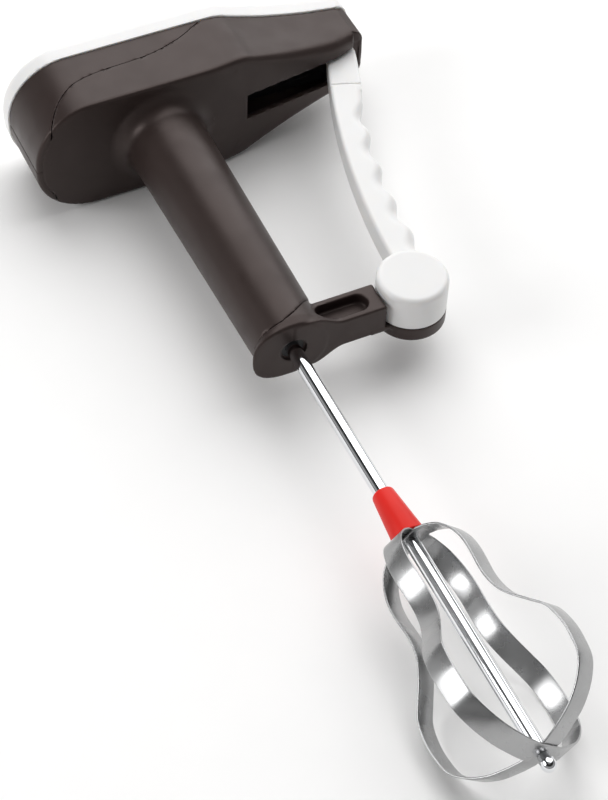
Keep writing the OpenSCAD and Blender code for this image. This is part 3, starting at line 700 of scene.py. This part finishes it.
def finish(name, color, roughness, metallic=0.0, tone=0.06, grain=0.0, grain_size=0.5, spread=0.05,
           glow=0.0, specular=0.5, tint=(1, 1, 1)):
    """A material whose colour varies by tone and whose roughness varies by spread. Its fine bumps
    are grain strong and grain_size millimetres apart. The glow is light under the surface."""
    mat = bpy.data.materials.new(name)
    mat.use_nodes = True
    tree = mat.node_tree
    shader = tree.nodes["Principled BSDF"]
    coords = tree.nodes.new("ShaderNodeTexCoord")
    shader.inputs["Metallic"].default_value = metallic
    shader.inputs["Specular IOR Level"].default_value = specular
    shader.inputs["Specular Tint"].default_value = (*tint, 1)
    if glow:
        shader.inputs["Subsurface Weight"].default_value = glow
        shader.inputs["Subsurface Radius"].default_value = GLOW_TINT
        shader.inputs["Subsurface Scale"].default_value = GLOW_DEPTH
    mix = tree.nodes.new("ShaderNodeMix")
    mix.data_type = "RGBA"
    mix.inputs["A"].default_value = (*(c * (1 - tone) for c in color), 1)
    mix.inputs["B"].default_value = (*(min(1, c * (1 + tone)) for c in color), 1)
    blotches = noise(tree, coords, *BLOTCHES)
    tree.links.new(remap(tree, blotches, 0, 1), mix.inputs["Factor"])
    tree.links.new(mix.outputs["Result"], shader.inputs["Base Color"])
    smudges = noise(tree, coords, *SMUDGES)
    uneven = remap(tree, smudges, max(LEAST_ROUGHNESS, roughness - spread), roughness + spread)
    tree.links.new(uneven, shader.inputs["Roughness"])
    if grain:
        bump = tree.nodes.new("ShaderNodeBump")
        bump.inputs["Strength"].default_value = grain
        bump.inputs["Distance"].default_value = GRAIN_DEPTH
        bumps = noise(tree, coords, 1 / (grain_size * MM), GRAIN_DETAIL)
        tree.links.new(bumps, bump.inputs["Height"])
        tree.links.new(bump.outputs["Normal"], shader.inputs["Normal"])
    return mat


MATERIALS = {
    "brown_plastic": finish(
        "brown_plastic", (0.023, 0.015, 0.0135), 0.42, tone=0.1, spread=0.05, grain=0.3, grain_size=0.4,
        specular=0.42, tint=(1, 0.84, 0.8)),
    "white_plastic": finish(
        "white_plastic", (0.775, 0.772, 0.768), 0.3, tone=0.008, spread=0.02, grain=0.04,
        grain_size=2.5, glow=0.5, specular=0.3),
    "red_plastic": finish(
        "red_plastic", (0.70, 0.026, 0.020), 0.34, tone=0.06, grain=0.06, grain_size=1.5, glow=0.05,
        specular=0.22, tint=(1, 0.6, 0.55)),
    "chrome_steel": finish(
        "chrome_steel", (0.80, 0.81, 0.83), 0.07, metallic=1.0, tone=0.03, spread=0.03, grain=0.02,
        grain_size=1.0),
    "polished_steel": finish(
        "polished_steel", (0.40, 0.402, 0.405), 0.27, metallic=1.0, tone=0.06, spread=0.06,
        grain=0.10, grain_size=0.6),
    "plate_steel": finish(
        "plate_steel", (0.58, 0.59, 0.61), 0.34, metallic=1.0, tone=0.1, spread=0.08, grain=0.15,
        grain_size=0.3),
    "spring_steel": finish(
        "spring_steel", (0.33, 0.33, 0.35), 0.3, metallic=1.0, tone=0.15, grain=0.1, grain_size=0.3),
    "black_acetal": finish(
        "black_acetal", (0.012, 0.012, 0.013), 0.45, tone=0.1, grain=0.1, grain_size=0.6,
        specular=0.3),
}
for part in frame["record"]["subparts"]:
    node = frame["nodes"][part["node"]]
    node.data.materials.clear()
    node.data.materials.append(MATERIALS[part["material_slot"]])


# --- Pieces --------------------------------------------------------------------------------------

# Each row gives a node, its field, the low and high corners of the box to contour, the grid's pitch,
# the body it rides and its material slot.
MOULDINGS = [
    ("head_housing", head_housing, (-57, -28.5, -2), (101, 28.5, 162), 0.9, "frame", "brown_plastic"),
    ("rear_shell_left", rear_shell(-1), (-57, -28.5, 126), (41, 1.5, 162), 0.7, "frame", "brown_plastic"),
    ("rear_shell_right", rear_shell(1), (-57, -1.5, 126), (41, 28.5, 162), 0.7, "frame", "brown_plastic"),
    ("head_cover", head_cover, (-57.5, -29, 156.5), (101, 29, 172), 0.75, "frame", "white_plastic"),
    ("foot_bracket", foot_bracket, (-19, -16, -8), (70, 16, 24), 0.6, "frame", "brown_plastic"),
    ("squeeze_lever", squeeze_lever, (38, -12, -8), (96, 7, 154), 0.6, "lever", "white_plastic"),
]
for row in MOULDINGS:
    moulded(*row)

ferrule = (
    [(FERRULE_BORE_R, FERRULE_TOP), (FERRULE_BORE_R, FERRULE_LOW)]
    + arc((FERRULE_R - FERRULE_EDGE, FERRULE_LOW + FERRULE_EDGE), FERRULE_EDGE, -90, 0, 4)
    + arc((FERRULE_TOP_R - FERRULE_ROUND, FERRULE_TOP - FERRULE_ROUND), FERRULE_ROUND,
          FERRULE_TAPER_DEG, 90, 10)
)
points, faces = lathe(ferrule, FERRULE_SIDES)
piece("ferrule_hub", points, faces, "spindle", "red_plastic", "ferrule")

# The dome's arc starts just off its pole, so that no face shrinks to a point.
cap = (
    [(TIP_BORE_R, TIP_TOP_Z), (TIP_BORE_R, TIP_BORE_Z), (TIP_POLE_R, TIP_BORE_Z)]
    + arc((0, TIP_END + TIP_R), TIP_R, -89.8, 0, 16)
    + arc((TIP_R - TIP_EDGE, TIP_SHOULDER_Z), TIP_EDGE, 0, 80, 4)
    + [(TIP_NECK_R, TIP_NECK_Z), (TIP_NECK_R, TIP_TOP_Z - TIP_CHAMFER)]
    + [(TIP_NECK_R - TIP_CHAMFER, TIP_TOP_Z)]
)
points, faces = lathe(cap, TIP_SIDES)
piece("tip_cap_dome", points, faces, "spindle", "chrome_steel", "tip_cap")


def strip_line(offset):
    """The strip's closed centreline as (radius, z), moved outwards by offset."""
    half = np.vstack([
        [(0, WHISK_TOP), (SEAT_R, WHISK_TOP)],
        catmull(WING, 10),
        [(SEAT_R, WHISK_LOW), (0, WHISK_LOW)],
    ])
    ahead = np.gradient(half, axis=0)
    ahead[0] = (1, 0)
    ahead[-1] = (-1, 0)
    ahead /= np.linalg.norm(ahead, axis=1)[:, None]
    half = half + offset * np.stack([-ahead[:, 1], ahead[:, 0]], 1)
    other = half[-2:0:-1] * (-1, 1)
    return np.vstack([half, other])


def strip(turn, offset):
    """A closed ring of flat strip with rounded edges, turned about the shaft by turn degrees."""
    line = strip_line(offset)
    ahead = np.roll(line, -1, 0) - np.roll(line, 1, 0)
    ahead /= np.linalg.norm(ahead, axis=1)[:, None]
    out = np.stack([-ahead[:, 1], ahead[:, 0]], 1)
    section = []
    for corner, sign in enumerate(((1, 1), (-1, 1), (-1, -1), (1, -1))):
        centre = (sign[0] * (STRIP_W / 2 - STRIP_EDGE), sign[1] * (STRIP_T / 2 - STRIP_EDGE))
        section += arc(centre, STRIP_EDGE, 90 * corner, 90 * corner + 90, 4)
    c = math.cos(math.radians(turn))
    s = math.sin(math.radians(turn))
    points = []
    for p, n in zip(line, out):
        for width, thick in section:
            r, z = p + n * thick
            points.append((r * c - width * s, r * s + width * c, z))
    sides, count = len(section), len(line)
    faces = [
        [i * sides + k, i * sides + (k + 1) % sides,
         (i + 1) % count * sides + (k + 1) % sides, (i + 1) % count * sides + k]
        for i in range(count) for k in range(sides)
    ]
    return points, faces


STRIPS = [("whisk_strip_outer", 45, 0.0), ("whisk_strip_inner", -45, -STRIP_T - STRIP_GAP)]
for node, turn, offset in STRIPS:
    points, faces = strip(turn, offset)
    piece(node + "_ring", points, faces, "spindle", "polished_steel", node, sharp=STRIP_SHARP)


# --- Floor, light and camera ---------------------------------------------------------------------

# Sizes are metres, powers are watts, and places are right, back and up from the beater's middle.
FLOOR_REACH = 4.0
FLOOR_GAP = 0.00005
AMBIENT = 0.25
BANDS = [(0.0, 0.1), (0.3, 0.4), (0.5, 0.2), (0.62, 0.02), (0.86, 0.02), (1.0, 0.3)]
LIGHTS = [
    ("key", (0.80, 1.1, 1.6), 3.0, 66.0),
    ("side", (-1.4, 0.2, 0.7), 0.8, 9.5),
]


def lay_floor():
    """A matt white table just under the lowest point."""
    mesh = bpy.data.meshes.new("floor")
    corners = [(i * FLOOR_REACH, j * FLOOR_REACH, 0) for i, j in ((-1, -1), (1, -1), (1, 1), (-1, 1))]
    mesh.from_pydata(corners, [], [(0, 1, 2, 3)])
    mesh.materials.append(finish("floor_paint", (0.94, 0.935, 0.93), 0.7, tone=0.005, specular=0.2))
    floor = bpy.data.objects.new("floor", mesh)
    floor.location.z = cad_low.z - FLOOR_GAP
    bpy.context.scene.collection.objects.link(floor)


def surround():
    """Even grey light from all round. In reflections it is bands of grey instead, from below to above."""
    world = bpy.data.worlds.new("studio")
    bpy.context.scene.world = world
    world.use_nodes = True
    tree = world.node_tree
    coords = tree.nodes.new("ShaderNodeTexCoord")
    split = tree.nodes.new("ShaderNodeSeparateXYZ")
    tree.links.new(coords.outputs["Generated"], split.inputs["Vector"])
    ramp = tree.nodes.new("ShaderNodeValToRGB")
    for position, level in BANDS[1:-1]:
        ramp.color_ramp.elements.new(position)
    for element, (position, level) in zip(ramp.color_ramp.elements, BANDS):
        element.position = position
        element.color = (level, level, level, 1)
    tree.links.new(split.outputs["Z"], ramp.inputs["Fac"])
    path = tree.nodes.new("ShaderNodeLightPath")
    mix = tree.nodes.new("ShaderNodeMix")
    mix.data_type = "RGBA"
    mix.inputs["A"].default_value = (AMBIENT, AMBIENT, AMBIENT, 1)
    tree.links.new(ramp.outputs["Color"], mix.inputs["B"])
    tree.links.new(path.outputs["Is Glossy Ray"], mix.inputs["Factor"])
    background = tree.nodes["Background"]
    background.inputs["Strength"].default_value = 1.0
    tree.links.new(mix.outputs["Result"], background.inputs["Color"])


def area_light(name, place, size, power):
    """A square soft light that looks at the beater's middle."""
    lamp = bpy.data.lights.new(name, "AREA")
    lamp.size = size
    lamp.energy = power
    obj = bpy.data.objects.new(name, lamp)
    middle = (cad_low + cad_high) / 2
    obj.location = middle + Vector(place)
    obj.rotation_mode = "QUATERNION"
    obj.rotation_quaternion = (middle - obj.location).to_track_quat("-Z", "Y")
    bpy.context.scene.collection.objects.link(obj)


lay_floor()
surround()
for row in LIGHTS:
    area_light(*row)

# The camera looks at a point near the drawing's origin. It is turned about the vertical by AZIMUTH,
# raised by ELEVATION, rolled by ROLL and tipped about X by TILT. Angles are degrees. Lengths are
# metres, except the lens and the sensor, which are millimetres.
AZIMUTH = -26.644
ELEVATION = 49.092
TILT = 1.095
ROLL = -1.870
DISTANCE = 0.8388
ASIDE = -0.003752
ABOVE = 0.018996
LENS = 99.3
SENSOR = 36
CLIP_START = 0.05


def camera_axes():
    """The camera's right, up and backward directions."""
    azimuth, elevation, roll = (math.radians(a) for a in (AZIMUTH, ELEVATION, ROLL))
    level = Vector((math.cos(azimuth), math.sin(azimuth), 0))
    backward = Vector((
        math.sin(azimuth) * math.cos(elevation),
        -math.cos(azimuth) * math.cos(elevation),
        math.sin(elevation),
    ))
    upward = backward.cross(level)
    lean = Matrix.Rotation(math.radians(-TILT), 3, "X")
    right = lean @ (math.cos(roll) * level - math.sin(roll) * upward)
    up = lean @ (math.sin(roll) * level + math.cos(roll) * upward)
    return right, up, lean @ backward


def set_camera():
    right, up, backward = camera_axes()
    data = bpy.data.cameras.new("camera")
    data.lens = LENS
    data.sensor_width = SENSOR
    data.clip_start = CLIP_START
    camera = bpy.data.objects.new("camera", data)
    turned = Matrix((right, up, backward)).transposed()
    place = ORIGIN + DISTANCE * backward - ASIDE * right - ABOVE * up
    camera.matrix_world = Matrix.Translation(place) @ turned.to_4x4()
    bpy.context.scene.collection.objects.link(camera)
    bpy.context.scene.camera = camera


set_camera()
bpy.context.scene.view_settings.view_transform = "Standard"
